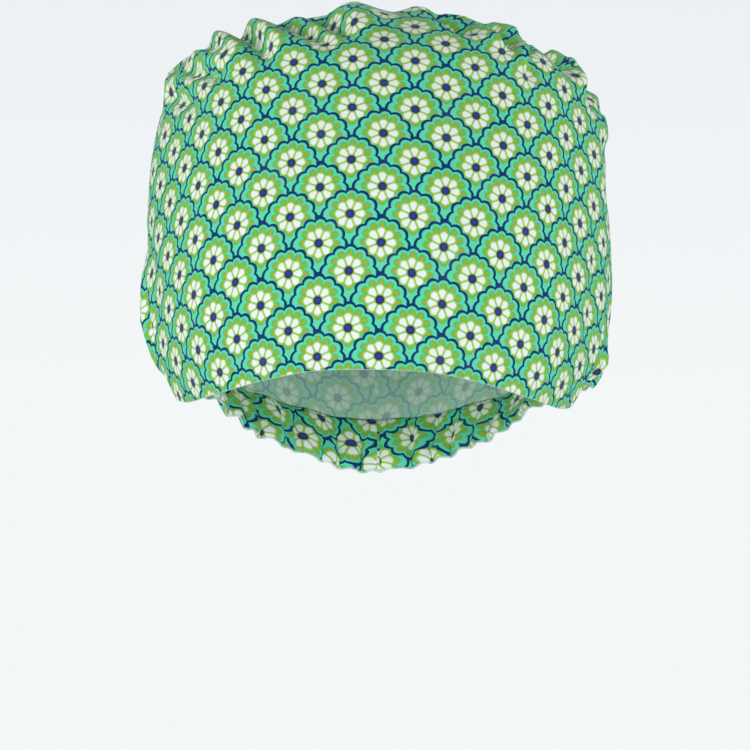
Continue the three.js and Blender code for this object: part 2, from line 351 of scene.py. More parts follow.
# %% [markdown]
# ## From a grid to cloth
#
# Every piece below is laid on the folded wall, so one helper finds a place on it: so far round, so
# high, and so deep under its face. The pieces could be modelled apart and pushed together, but then
# a change to one fold would leave gaps. Here the hem, the casing and the stitches all follow.

# %% Place points on the folded wall


def unit(vectors):
    return vectors / np.linalg.norm(vectors, axis=-1, keepdims=True)


def normals_of(points):
    """Unit normals of a grid whose first and last columns meet at the back seam."""
    round_step = np.empty_like(points)
    round_step[1:-1] = points[2:] - points[:-2]
    round_step[0] = round_step[-1] = points[1] - points[-2]
    return unit(np.cross(round_step, np.gradient(points, axis=1)))


folded = grid + height[..., None] * normals_of(grid)
folded_normals = normals_of(folded)
folded_down = unit(-np.gradient(folded, axis=1))


def on_wall(column, level, depth=0.0, down=0.0):
    """Points in millimetres at columns of the grid (they may be fractions) and at levels."""
    column, level = np.broadcast_arrays(np.asarray(column, float), np.asarray(level, float))
    column = column % AROUND
    row = np.interp(level, levels, np.arange(rows + 1))
    i, j = np.floor(column).astype(int), np.minimum(np.floor(row).astype(int), rows - 1)
    u, v = (column - i)[..., None], (row - j)[..., None]

    def blend(table):
        low = table[i, j] * (1 - u) + table[i + 1, j] * u
        high = table[i, j + 1] * (1 - u) + table[i + 1, j + 1] * u
        return low * (1 - v) + high * v

    depth, down = np.asarray(depth)[..., None], np.asarray(down)[..., None]
    return blend(folded) - depth * blend(folded_normals) + down * blend(folded_down)


print("top of the brow roll, mm:", on_wall(middle, LEVELS - 2.0).round(1))

# %% [markdown]
# ## Where the print falls
#
# A fold hides cloth, and the print on it goes in with it. If the print were laid by the smooth form,
# a fold would stretch the flowers over itself. So the lengths are measured on the folded cloth. Three
# short tables add what no ruler gives: how far the cloth was cut askew, and where it is pulled or
# eased.

# %% Say how the print is cut, pulled and eased
PRINT_WIDE, PRINT_HIGH = 22.8, 20.8  # one repeat of the print, in millimetres
PRINT_START = (1.42, 25.99)  # a flower's centre
# columns: along, shift along, shift up; the cloth isn't cut quite square to the wall
PRINT_SHIFT = np.array([
    (-300, 0.0, 8.0), (-130, 0.0, 5.0), (-91, 0.5, 3.0), (-68, 0.0, 1.5), (-50, 0.4, 0.0),
    (-30, 0.2, 0.0), (0, 0.0, 0.1), (15, 0.0, 0.4), (38, -0.8, 0.4), (68, -1.4, 0.3),
    (91, -1.2, 0.4), (118, -4.0, 1.5), (140, 0.0, 3.0), (300, 8.0, 5.0),
])
# columns: along, up, reach, shift along, shift up, where the cloth is pulled a little askew
PRINT_PULLS = (
    (-98, 78, 26, -4.0, 1.5), (-98, -6, 22, 0.0, -2.0), (98, -2, 26, -0.5, -1.6),
    (46, 60, 40, -1.0, 0.0),
)
# columns: up, shift up; it is eased a little over the forehead and drawn at the crown
PRINT_EASE = np.array([
    (-40, 0.6), (-15, 0.8), (26, 1.0), (60, 1.1), (88, 1.0), (110, 0.6), (130, 0.1), (160, -0.1),
])
print("one repeat is", PRINT_WIDE, "x", PRINT_HIGH, "mm")

# %% [markdown]
# ## Measure over the folds
#
# A tape laid over a fold is longer than one laid across it, and the print follows the tape. But
# cloth also gives on the slant, and if every length were added up the flowers would drift out of
# line round the head. So each step is measured over its fold, and then scaled so that the cloth
# near it carries only a share of what the folds add.

# %% Measure the folded cloth for its print

def blurred(values, axis, reach, wraps):
    """Mean over a soft window of reach steps."""
    offsets = np.arange(-2 * reach, 2 * reach + 1)
    weights = np.exp(-((offsets / reach) ** 2))
    mode = "wrap" if wraps else "edge"
    widths = [(0, 0)] * values.ndim
    widths[axis] = (2 * reach, 2 * reach)
    padded = np.pad(values, widths, mode=mode)
    size = values.shape[axis]
    parts = [w * np.take(padded, np.arange(size) + k, axis=axis) for k, w in enumerate(weights)]
    return sum(parts) / weights.sum()


def print_lengths(axis, reach, wraps, gathered):
    """Lengths along the folded cloth. The share gathered of what the folds add carries print too."""
    plain = np.linalg.norm(np.diff(grid, axis=axis), axis=-1)
    real = np.linalg.norm(np.diff(folded, axis=axis), axis=-1)
    real_mean, plain_mean = (blurred(values, axis, reach, wraps) for values in (real, plain))
    return added_up(real / real_mean * (plain_mean + gathered * (real_mean - plain_mean)), axis)


print_s = print_lengths(axis=0, reach=14, wraps=True, gathered=0.8)
print_s -= print_s[middle]
print_t = print_lengths(axis=1, reach=10, wraps=False, gathered=0.4)
print_t += up[:, :1]
shift_s = np.interp(along, PRINT_SHIFT[:, 0], PRINT_SHIFT[:, 1])
shift_t = np.interp(along, PRINT_SHIFT[:, 0], PRINT_SHIFT[:, 2])
print_s = print_s + shift_s
print_t = print_t + shift_t + np.interp(up, PRINT_EASE[:, 0], PRINT_EASE[:, 1])
for at_s, at_t, reach, pull_s, pull_t in PRINT_PULLS:
    near = np.exp(-((along - at_s) ** 2 + (up - at_t) ** 2) / reach**2)
    print_s = print_s + pull_s * near
    print_t = print_t + pull_t * near
print("print repeats round the head:", round(float(np.ptp(print_s[:, rows // 2])) / PRINT_WIDE, 1))

# %% [markdown]
# ## From points to pieces
#
# Every piece of the cap is made the same way: points in millimetres, faces between them, and a map
# that says which place of the print lies on each. One helper makes them all and puts them where the
# frame's wall stands. Modelling by hand would do as well, but it couldn't follow a changed table.

# %% Make meshes from rings of points
root_pieces = []


def add_mesh(name, points, faces, materials, maps):
    """A piece from points in millimetres. Its maps hold a place for each point or each face corner."""
    mesh = bpy.data.meshes.new(name)
    placed = wall_low + (points * MM - form_low) * fit
    mesh.from_pydata(placed.tolist(), [], [list(map(int, face)) for face in faces])
    corners = np.empty(len(mesh.loops), int)
    mesh.loops.foreach_get("vertex_index", corners)
    for map_name, places in maps.items():
        layer = mesh.uv_layers.new(name=map_name)
        at_corners = places if len(places) == len(corners) else places[corners]
        layer.data.foreach_set("uv", at_corners.astype(np.float32).ravel())
    for material in materials:
        mesh.materials.append(material)
    mesh.polygons.foreach_set("use_smooth", np.ones(len(mesh.polygons), bool))
    mesh.update()
    piece = bpy.data.objects.new(name, mesh)
    bpy.context.scene.collection.objects.link(piece)
    root_pieces.append(piece)
    return piece


def quads(count_u, count_v, closed_u=False):
    """Faces of columns of points, each column a closed ring."""
    last_u = count_u if closed_u else count_u - 1
    i, j = np.meshgrid(np.arange(last_u), np.arange(count_v), indexing="ij")
    k = (j + 1) % count_v
    ring, ahead = i * count_v, (i + 1) % count_u * count_v
    return np.stack([ring + j, ahead + j, ahead + k, ring + k], axis=-1).reshape(-1, 4)


print("helpers for meshes are ready")

# %% [markdown]
# ## The print
#
# The cotton is printed with rows of scallops, like fish scales, and each scallop holds a daisy with
# seven dots round it and one at its foot. A picture of the cloth would be quick, but it would stay
# blurred up close. A few curves in the shader describe the print exactly, at any distance, in
# millimetres.

# %% Write shader arithmetic in short


def linear(red, green, blue):
    """A colour written from 0 to 255, as the light that it stands for."""
    def one(value):
        value = value / 255
        return value / 12.92 if value <= 0.04045 else ((value + 0.055) / 1.055) ** 2.4
    return one(red), one(green), one(blue), 1.0


def calculator(tree):
    """Gives calc(operation, values...), which adds one Math node and returns its result."""
    def calc(operation, *values, clamp=False):
        node = tree.nodes.new("ShaderNodeMath")
        node.operation = operation
        node.use_clamp = clamp
        for socket, value in zip(node.inputs, values):
            if isinstance(value, (int, float)):
                socket.default_value = value
            else:
                tree.links.new(value, socket)
        return node.outputs[0]
    return calc


def under(calc, value, limit, soft):
    """1 where value is under limit, 0 where it is over it, and a soft step between."""
    return calc("MULTIPLY_ADD", calc("SUBTRACT", limit, value), 1 / soft, 0.5, clamp=True)


def painter(tree):
    """Gives paint(share, below, above), which lays one colour over another."""
    def paint(share, below, above):
        node = tree.nodes.new("ShaderNodeMix")
        node.data_type = "RGBA"
        for i, value in ((0, share), (6, below), (7, above)):
            socket = node.inputs[i]
            if isinstance(value, (tuple, float)):
                socket.default_value = value
            else:
                tree.links.new(value, socket)
        return node.outputs[2]
    return paint


print("a mid grey is", [round(value, 3) for value in linear(128, 128, 128)[:3]])

# %% [markdown]
# ## One repeat of the print
#
# The node group takes a place on the cloth, in repeats, and gives its colour. Scallops overlap like
# tiles on a roof, so three of them can cover one place: this row's, the next row's below and the one
# above. The lowest that covers the place wins. From then on only that scallop has to be drawn.

# %% Name the print's colours and start its node group
MINT = linear(97, 226, 179)
OLIVE = linear(164, 180, 70)
HALO = linear(98, 190, 82)
LIME = linear(170, 212, 62)
RING = linear(146, 168, 76)
PETAL = linear(243, 252, 253)
NAVY = linear(2, 52, 114)
CENTRE = linear(46, 64, 156)
CENTRE_RIM = linear(12, 32, 78)
# measures of the print are in repeats across, and its angles in degrees
SOFT = 0.018  # softness of its edges
DOT_STEP, DOT_TURN = 30.6, 3.7  # between dots, and from straight up to the middle one

cotton_print = bpy.data.node_groups.new("cotton_print", "ShaderNodeTree")
cotton_print.interface.new_socket("Place", in_out="INPUT", socket_type="NodeSocketVector")
cotton_print.interface.new_socket("Color", in_out="OUTPUT", socket_type="NodeSocketColor")
calc, paint = calculator(cotton_print), painter(cotton_print)
given = cotton_print.nodes.new("NodeGroupInput")
split = cotton_print.nodes.new("ShaderNodeSeparateXYZ")
cotton_print.links.new(given.outputs[0], split.inputs[0])
TALL = PRINT_HIGH / PRINT_WIDE

print("a repeat is", round(TALL, 3), "as high as it is wide")

# %% [markdown]
# ## The scallop on top
#
# Each of the three scallops is measured by how far a place lies inside its wavy edge. The edge is a
# circle with lobes, so that distance is a radius less a wave of the angle. Three images laid over
# each other could hide one another too, but here the answer also gives the angle the petals need.

# %% Find the scallop that lies on top
SCALLOP, LOBE = 0.3835, 0.05  # radius at the dips of its edge, and how far each lobe stands out
FLARE, FLARE_ANGLE = 0.043, 84.0  # how far the edge has widened, at an angle from straight up

own_x = calc("WRAP", split.outputs[0], 0.5, -0.5)
own_y = calc("MULTIPLY", calc("WRAP", split.outputs[1], 0.5, -0.5), TALL)
next_x = calc("WRAP", calc("ADD", split.outputs[0], 0.5), 0.5, -0.5)
lower_y = calc("ADD", own_y, TALL / 2)
upper_y = calc("SUBTRACT", own_y, TALL / 2)


def scallop(x, y):
    """Signed distance from a scallop's rim, negative inside."""
    raised = calc("MAXIMUM", y, 0.0)
    squares = calc("ADD", calc("MULTIPLY", x, x), calc("MULTIPLY", raised, raised))
    angle = calc("DEGREES", calc("ARCTAN2", x, raised))
    turn = calc("DIVIDE", calc("SUBTRACT", angle, DOT_TURN), DOT_STEP)
    off = calc("MULTIPLY", calc("SUBTRACT", turn, calc("ROUND", turn)), 2.0)
    bulge = calc("MULTIPLY_ADD", calc("MULTIPLY", off, off), -LOBE, LOBE)
    widening = calc("POWER", calc("DIVIDE", calc("ABSOLUTE", angle), FLARE_ANGLE), 2.0)
    rim = calc("ADD", calc("MULTIPLY_ADD", widening, FLARE, bulge), SCALLOP)
    return calc("SUBTRACT", calc("SQRT", squares), rim)


own_rim = scallop(own_x, own_y)
lower_rim = scallop(next_x, lower_y)
upper_rim = scallop(next_x, upper_y)
in_lower = calc("LESS_THAN", lower_rim, 0.0)
in_own = calc("LESS_THAN", own_rim, 0.0)


def picked(share, chosen_value, other):
    """The chosen value where share is 1, and the other one where it is 0."""
    kept = calc("MULTIPLY", chosen_value, share)
    return calc("ADD", kept, calc("MULTIPLY", other, calc("SUBTRACT", 1.0, share)))


def chosen(lower, own, upper):
    """The value of the scallop that lies on top: the lower row overlaps, then this one."""
    return picked(in_lower, lower, picked(in_own, own, upper))


x = chosen(next_x, own_x, next_x)
y = chosen(lower_y, own_y, upper_y)
rim = chosen(lower_rim, own_rim, upper_rim)


def distance(across, upward):
    """Length of the way across and upward together."""
    return calc("SQRT", calc("ADD", calc("MULTIPLY", across, across), calc("MULTIPLY", upward, upward)))


reach = distance(x, y)
angle = calc("DEGREES", calc("ARCTAN2", x, y))
print("nodes for the scallops:", len(cotton_print.nodes))

# %% [markdown]
# ## Petals and dots
#
# Eight petals are one petal eight times: turning each place back by whole eighths leaves a single
# petal to draw, a wedge with a round end. The dots are the same trick with a step of their own. Each
# shape gives a distance from its edge, so that its edge can be as soft as ink on cotton is.

# %% Draw the petals and the dots
PETALS = 8
PETAL_SLOPE, PETAL_INSET = 0.414, 0.0185  # a petal's half width grows by this slope, less an inset
PETAL_ROUND = 0.165  # distance from the flower's centre at which its round end starts
END_LONG, END_WIDE = 0.068, 0.062  # half axes of that end
DOT_REACH, DOT_DRIFT = 0.283, 0.003  # distance of the middle dot, and how much each next one adds
LAST_DOT = 3.0  # dots are counted from the middle one to both sides
FOOT_DOT = 0.253  # distance of the dot at the flower's foot

petal_turn = calc("WRAP", angle, 180.0 / PETALS, -180.0 / PETALS)
petal_along = calc("MULTIPLY", reach, calc("COSINE", calc("RADIANS", petal_turn)))
petal_across = calc("ABSOLUTE", calc("MULTIPLY", reach, calc("SINE", calc("RADIANS", petal_turn))))
wedge = calc("SUBTRACT", petal_across, calc("MULTIPLY_ADD", petal_along, PETAL_SLOPE, -PETAL_INSET))
end_along = calc("DIVIDE", calc("MAXIMUM", calc("SUBTRACT", petal_along, PETAL_ROUND), 0.0), END_LONG)
end_across = calc("DIVIDE", petal_across, END_WIDE)
past_end = calc("SUBTRACT", distance(end_along, end_across), 1.0)
petal = calc("MAXIMUM", wedge, calc("MULTIPLY", past_end, (END_LONG + END_WIDE) / 2))

dot_turn = calc("DIVIDE", calc("SUBTRACT", angle, DOT_TURN), DOT_STEP)
dot_index = calc("MINIMUM", calc("MAXIMUM", calc("ROUND", dot_turn), -LAST_DOT), LAST_DOT)
dot_angle = calc("RADIANS", calc("MULTIPLY_ADD", dot_index, DOT_STEP, DOT_TURN))
dot_reach = calc("MULTIPLY_ADD", dot_index, DOT_DRIFT, DOT_REACH)
dot_x = calc("SUBTRACT", x, calc("MULTIPLY", dot_reach, calc("SINE", dot_angle)))
dot_y = calc("SUBTRACT", y, calc("MULTIPLY", dot_reach, calc("COSINE", dot_angle)))
dot = calc("MINIMUM", distance(dot_x, dot_y), distance(x, calc("ADD", y, FOOT_DOT)))
print("nodes with the petals and dots:", len(cotton_print.nodes))

# %% [markdown]
# ## Inks
#
# A printer lays flat inks one after another: first the mint ground, then green, lime and white, and
# the navy line last. The shader does the same, each shape covering what is already there. Making
# every place pick one colour from a list would be shorter, but then no edge could be soft.

# %% Paint the print from the ground up
HALO_REACH = 0.262  # how far the green and the lime spread from a flower's centre
OUTLINE = 0.024  # width of the lime round each petal
LINE = 0.050  # width of the navy line inside a scallop's rim

near_petal = calc("MAXIMUM", calc("SUBTRACT", petal, OUTLINE), calc("SUBTRACT", reach, HALO_REACH))
# columns: what is measured, how far the ink reaches, how soft its edge is, ink
LAYERS = (
    (reach, HALO_REACH, 0.050, HALO),
    (dot, 0.062, 0.026, HALO),
    (dot, 0.038, 0.030, OLIVE),
    (near_petal, 0.0, 0.026, LIME),
    (petal, 0.0, SOFT, PETAL),
    (reach, 0.088, SOFT, RING),
    (reach, 0.069, SOFT, CENTRE_RIM),
    (reach, 0.046, 0.026, CENTRE),
)
colour = MINT
for measured, limit, soft, layer in LAYERS:
    colour = paint(under(calc, measured, limit, soft), colour, layer)
line = calc("MULTIPLY_ADD", calc("ADD", rim, LINE), 1 / SOFT, 0.5, clamp=True)
colour = paint(line, colour, NAVY)
result = cotton_print.nodes.new("NodeGroupOutput")
cotton_print.links.new(colour, result.inputs[0])
print("the print takes", len(cotton_print.nodes), "nodes")

# %% [markdown]
# ## Cotton
#
# Plain woven cotton scatters light almost evenly, with a faint sheen from its loose fibres and no
# gloss. The thread shows only close up, so it is a small bump in both directions of the weave. The
# wrong side of a printed cloth shows the print as a pale ghost, because the ink doesn't go through.

# %% Make the cotton's colour
THREAD = 0.36  # millimetres from one thread to the next
GHOST = linear(206, 236, 226)
WANDER = 0.016  # how far the print strays from its repeats, in repeats
WEAR = 0.16  # how much its fading varies from place to place


def noise(tree, place, scale, detail):
    """Even chance from place to place: its value, and a colour of three of them."""
    node = tree.nodes.new("ShaderNodeTexNoise")
    node.inputs["Scale"].default_value = scale
    node.inputs["Detail"].default_value = detail
    tree.links.new(place, node.inputs["Vector"])
    return node.outputs


def ink(tree, place, ghost):
    """The print's colour, set off a little by chance and faded towards a ghost of itself."""
    calc, paint = calculator(tree), painter(tree)
    moved = tree.nodes.new("ShaderNodeVectorMath")
    moved.operation = "MULTIPLY_ADD"
    moved.inputs[1].default_value = (WANDER, WANDER, 0.0)
    tree.links.new(noise(tree, place, scale=3.0, detail=2.0)["Color"], moved.inputs[0])
    tree.links.new(place, moved.inputs[2])
    pattern = tree.nodes.new("ShaderNodeGroup")
    pattern.node_tree = cotton_print
    tree.links.new(moved.outputs[0], pattern.inputs[0])
    worn = calc("MULTIPLY_ADD", noise(tree, place, scale=1.3, detail=4.0)[0], WEAR, ghost)
    return paint(calc("SUBTRACT", worn, WEAR / 2, clamp=True), pattern.outputs[0], GHOST)


def weave(tree, place):
    """The normal of a plain weave, with thicker threads here and there."""
    calc = calculator(tree)
    parts = tree.nodes.new("ShaderNodeSeparateXYZ")
    tree.links.new(place, parts.inputs[0])
    warp = calc("SINE", calc("MULTIPLY", parts.outputs[0], 2 * math.pi * PRINT_WIDE / THREAD))
    weft = calc("SINE", calc("MULTIPLY", parts.outputs[1], 2 * math.pi * PRINT_HIGH / THREAD))
    slubs = calc("MULTIPLY", noise(tree, place, scale=22.0, detail=3.0)[0], 3.0)
    bump = tree.nodes.new("ShaderNodeBump")
    bump.inputs["Strength"].default_value = 0.25
    bump.inputs["Distance"].default_value = 0.06 * MM
    tree.links.new(calc("ADD", calc("MULTIPLY", warp, weft), slubs), bump.inputs["Height"])
    return bump.outputs[0]


print("threads in a repeat:", round(PRINT_WIDE / THREAD))

# %% [markdown]
# ## Two sides and a thread
#
# One recipe serves both sides of the cloth, with the print nearly lost on the wrong side. Numbers
# that are the same all over go on the shader itself. The sewing thread is plain: it is too thin
# for any pattern to show, and its shape does the work.

# %% Make the cotton's two sides and the thread


def cotton(name, ghost):
    """Printed cotton; ghost is how far the print is lost on this side."""
    material = bpy.data.materials.new(name)
    material.use_nodes = True
    tree = material.node_tree
    cloth = tree.nodes["Principled BSDF"]
    place = tree.nodes.new("ShaderNodeUVMap")
    place.uv_map = "print"
    tree.links.new(ink(tree, place.outputs[0], ghost), cloth.inputs["Base Color"])
    tree.links.new(weave(tree, place.outputs[0]), cloth.inputs["Normal"])
    cloth.inputs["Roughness"].default_value = 0.92
    cloth.inputs["Specular IOR Level"].default_value = 0.15
    cloth.inputs["Sheen Weight"].default_value = 0.12
    cloth.inputs["Sheen Roughness"].default_value = 0.5
    return material


right_side = cotton("cotton_right_side", 0.0)
wrong_side = cotton("cotton_wrong_side", 0.62)
thread = bpy.data.materials.new("thread")
thread.use_nodes = True
thread_cloth = thread.node_tree.nodes["Principled BSDF"]
thread_cloth.inputs["Base Color"].default_value = linear(96, 206, 168)
thread_cloth.inputs["Roughness"].default_value = 0.8
print("materials:", [material.name for material in (right_side, wrong_side, thread)])

# %% [markdown]
# ## The wall
#
# The wall is one band of cotton, seamed at the centre back. It has a right side and a wrong side,
# and at the lower edge the cloth turns under itself. A single sheet with a thickness modifier would
# be simpler, but then the edge would be sharp. Here a ring of points runs up the outside, down the
# inside and round the fold.

# %% Build the wall
CLOTH = 0.8  # thickness of the wall's cloth with its hem turned in
INNER_ROWS = 44
FOLD_POINTS = 5

inner_levels = np.linspace(LEVELS, 0, INNER_ROWS)
turn = np.linspace(0, math.pi, FOLD_POINTS + 2)[1:-1]
profile_level = np.concatenate([levels, inner_levels, np.zeros(FOLD_POINTS)])
profile_depth = np.concatenate([
    np.zeros(rows + 1), np.full(INNER_ROWS, CLOTH), CLOTH / 2 * (1 + np.cos(turn))])
profile_down = np.concatenate([np.zeros(rows + 1 + INNER_ROWS), CLOTH / 2 * np.sin(turn)])
ring = len(profile_level)

columns = np.arange(AROUND)
section = profile_level[None, :], profile_depth[None, :], profile_down[None, :]
wall_points = on_wall(columns[:, None], *section)
faces = quads(AROUND, ring, closed_u=True)
face_column, face_ring = np.repeat(columns, ring), np.tile(np.arange(ring), AROUND)
is_outer = face_ring < rows
corner_column = face_column[:, None] + np.array([0, 1, 1, 0])
corner_ring = face_ring[:, None] + np.array([0, 0, 1, 1])


def print_place(column, row):
    """Coordinates on the print, in repeats, at columns and rows of the grid."""
    i = np.clip(np.floor(column).astype(int), 0, AROUND - 1)
    j = np.clip(np.floor(row).astype(int), 0, rows - 1)
    u, v = column - i, row - j
    out = []
    for table, start, size in zip((print_s, print_t), PRINT_START, (PRINT_WIDE, PRINT_HIGH)):
        low = table[i, j] * (1 - u) + table[i + 1, j] * u
        high = table[i, j + 1] * (1 - u) + table[i + 1, j + 1] * u
        out.append((low * (1 - v) + high * v - start) / size)
    return np.stack(out, axis=-1)


profile_row = np.interp(profile_level, levels, np.arange(rows + 1))
wall_print = print_place(corner_column.astype(float), profile_row[corner_ring % ring])
print("points round one ring of the wall:", ring)

# %% [markdown]
# ## A second map for the wall
#
# The print's map runs off the square many times over, which suits a repeat. Colours can only be
# stored in a picture, as a game or a library does, if every face has its own place in one square. A
# map made by the program would cut the wall in scraps. Here it goes in four blocks and a strip.

# %% Give the wall its second map and make it
BLOCKS = 4
BLOCK_WIDE = 0.41
STRIP_START, STRIP_WIDE = 0.83, 0.165


def within(share, margin):
    """A share from 0 to 1, kept off both ends by a margin."""
    return margin + (1 - 2 * margin) * share


corner_block = np.minimum(face_column * BLOCKS // AROUND, BLOCKS - 1)[:, None]
block_share = corner_column / AROUND * BLOCKS - corner_block
outer_map = np.stack([
    (corner_block % 2 + within(block_share, 0.012)) * BLOCK_WIDE,
    (corner_block // 2 + within(corner_ring / rows, 0.008)) / 2], axis=-1)
inner_map = np.stack([
    STRIP_START + STRIP_WIDE * (corner_ring - rows) / (ring - rows),
    within(corner_column / AROUND, 0.004)], axis=-1)
own_map = np.where(is_outer[:, None, None], outer_map, inner_map)

wall = add_mesh("crown_wall_cloth", wall_points.reshape(-1, 3), faces, (right_side, wrong_side),
                {"print": wall_print.reshape(-1, 2), "OFBake": own_map.reshape(-1, 2)})
wall.data.polygons.foreach_set("material_index", (~is_outer).astype(np.int32))
print("wall:", len(faces) * 2, "triangles")

# %% [markdown]
# ## The crown's top
#
# The wall is drawn up on to an oval of the same cotton. It is cut a little large, so it domes, and
# its seam sinks. A flat disc would look like a lid. Rings that shrink towards the middle follow the
# wall's last row and so meet it at every gather.

# %% Lay the rings of the top
TOP_RINGS = 40
TOP_DOME = 4.0
TOP_REACH = 60.0  # millimetres from the seam to the middle, used to place the seam's groove
SEAM_SINK, SEAM_HALF = 1.0, 2.2
RIPPLES, RIPPLE_IN = 40, 5.0  # how many, and how far inside the seam they stand highest

edge_points = on_wall(columns, float(LEVELS), CLOTH / 2)
top_centre = edge_points.mean(0)
shares = np.linspace(1, 0, TOP_RINGS + 1)[:-1]
inset = (1 - shares) * TOP_REACH
rise = TOP_DOME * (1 - shares**2) - SEAM_SINK * np.exp(-((inset / SEAM_HALF) ** 2))
upper = top_centre + (edge_points - top_centre)[:, None] * shares[None, :, None]
upper[..., 2] += rise[None, :]

ripple = np.zeros(AROUND)
for _ in range(RIPPLES):
    place, wide, high = chance.uniform(0, 360), chance.uniform(2, 4), chance.uniform(0.2, 0.7)
    ripple += high * roll(turned(columns * 360 / AROUND - place), wide)
near_seam = np.exp(-(((inset - RIPPLE_IN) / RIPPLE_IN) ** 2))
upper[..., 2] += (ripple - ripple.mean())[:, None] * near_seam[None, :]
print("the top is", np.round(np.ptp(edge_points, axis=0), 1), "mm across")

# %% [markdown]
# ## Closing the top
#
# The rings turn over at the seam and run back under, so the top has two sides and a thickness, like
# cloth. The print runs straight across it from left to right, because this piece is cut flat, and
# it therefore breaks at the seam as it does on a real cap.

# %% Build the top
TOP_PRINT_START = -4.0  # where the print's repeats start from front to back

lower = upper - np.array([0, 0, CLOTH])
top_ring = np.concatenate([upper, lower[:, ::-1]], axis=1)
count = top_ring.shape[1]
dome = top_centre + np.array([0, 0, TOP_DOME])
top_points = np.concatenate([top_ring.reshape(-1, 3), [dome], [dome - (0, 0, CLOTH)]])
top_faces = []
last = AROUND * count
for i in range(AROUND):
    here, ahead = i * count, (i + 1) % AROUND * count
    for j in range(count):
        if j == TOP_RINGS - 1:
            continue
        k = (j + 1) % count
        top_faces.append((here + j, here + k, ahead + k, ahead + j))
    top_faces.append((here + TOP_RINGS - 1, last, ahead + TOP_RINGS - 1))
    top_faces.append((here + TOP_RINGS, ahead + TOP_RINGS, last + 1))
top_print = (top_points[:, :2] - (0.0, TOP_PRINT_START)) / (PRINT_WIDE, PRINT_HIGH)
top = add_mesh("crown_top_cloth", top_points, top_faces, (right_side, wrong_side), {"print": top_print})
inside = [int(min(face) % count >= TOP_RINGS or max(face) == last + 1) for face in top_faces]
top.data.polygons.foreach_set("material_index", np.array(inside, np.int32))
print("top:", len(top_faces), "faces")

# %% [markdown]
# ## Hem and casing
#
# Over the brow the edge is turned in and sewn, so a flat strip lies inside it. From temple to
# temple round the nape the same strip holds elastic, and the cloth gathers over it. Both could be
# one ring, but they differ: one is flat and thin, and the other is full and crumpled.

# %% Lay a strip inside the wall
TEMPLE = 73.0  # degrees from the brow at which the hem ends and the casing starts
HEM_TOP = 1.5  # level of both strips' upper edge
CRUMPLE_STEP = 3.2  # mean degrees between the small gathers of the casing
FULL_DEPTH = CLOTH + 0.4  # points of a strip that lie deeper than this are crumpled, in millimetres


def crumpled(angles, seed):
    """Small gathers along a strip, less their mean."""
    luck = np.random.default_rng(seed)
    extra = np.zeros(len(angles))
    for _ in range(int(np.ptp(angles) / CRUMPLE_STEP)):
        place = luck.uniform(angles[0], angles[-1])
        wide, high = luck.uniform(0.8, 1.7), luck.uniform(0.3, 1)
        extra += high * roll(angles - place, wide)
    return extra - extra.mean()


def strip(name, from_azimuth, to_azimuth, steps, profile, puff, seed):
    """A band inside the wall. Its profile has columns level and depth."""
    profile = np.array(profile, float)
    angles = np.linspace(from_azimuth, to_azimuth, steps)
    at = (angles + 180) / 360 * AROUND
    full = profile[None, :, 1] > FULL_DEPTH
    depth = profile[None, :, 1] + puff * crumpled(angles, seed)[:, None] * full
    points = on_wall(at[:, None], profile[None, :, 0], depth)
    count = len(profile)
    faces = [tuple(face[::-1]) for face in quads(steps, count)]
    faces.append(tuple(range(count)))
    faces.append(tuple((steps - 1) * count + k for k in reversed(range(count))))

    # the print breaks off at the back seam, so each face takes its places from its own side of it
    rows_at = np.interp(profile[:, 0], levels, np.arange(rows + 1))
    face_step, face_point = np.repeat(np.arange(steps - 1), count), np.tile(np.arange(count), steps - 1)
    past_seam = AROUND * (at[face_step] >= AROUND - 0.5)
    corner_at = at[face_step[:, None] + np.array([0, 1, 1, 0])] - past_seam[:, None]
    corner_row = rows_at[(face_point[:, None] + np.array([0, 0, 1, 1])) % count]
    on_faces = print_place(corner_at[:, ::-1], corner_row[:, ::-1]).reshape(-1, 2)
    ends = [print_place(np.full(count, end), row) for end, row in (
        (at[0], rows_at), (at[-1] % AROUND, rows_at[::-1]))]
    places = np.concatenate([on_faces, *ends]) * (1, -1)
    return add_mesh(name, points.reshape(-1, 3), faces, (right_side,), {"print": places})


print("the hem ends", TEMPLE, "degrees from the brow")

# %% [markdown]
# ## Two sections of strip
#
# What tells the strips apart is their section. The hem is folded cloth pressed flat, so it rises
# evenly and ends in a small step. The casing holds elastic, so its section is a full curve, and
# crumples run along it. Both sections are rows of level and depth, read from the edge upwards.

# %% Build the hem and the casing
STRIP_GAP = 1.0  # degrees between the hem's end and the casing's

# columns of both sections: level, depth in millimetres
hem_profile = [(0.02, 0.95), (0.0, 1.2), (0.02, 1.5)]
hem_profile += [(level, 1.55) for level in np.linspace(0.15, HEM_TOP - 0.12, 8)]
hem_profile += [(HEM_TOP - 0.04, 1.75), (HEM_TOP + 0.02, 1.6), (HEM_TOP + 0.03, 1.2), (HEM_TOP, 0.95)]
hem_profile += [(level, 0.9) for level in np.linspace(HEM_TOP - 0.2, 0.2, 6)]
hem = strip("brow_hem_cloth", -TEMPLE, TEMPLE, steps=194, profile=hem_profile, puff=0.0, seed=3)

casing_profile = [(0.02, 0.95), (0.0, 1.5)]
for share in np.linspace(0.08, 0.92, 9):
    casing_profile.append((share * HEM_TOP, 1.9 + 1.2 * math.sin(math.pi * share) ** 0.7))
casing_profile += [(HEM_TOP - 0.03, 1.5), (HEM_TOP + 0.03, 1.1), (HEM_TOP, 0.95)]
casing_profile += [(level, 0.9) for level in np.linspace(HEM_TOP - 0.2, 0.2, 6)]
casing = strip("nape_casing_cloth", TEMPLE + STRIP_GAP, 360 - TEMPLE - STRIP_GAP,
               steps=500, profile=casing_profile, puff=0.5, seed=5)
print("hem and casing:", len(hem.data.polygons), len(casing.data.polygons), "faces")

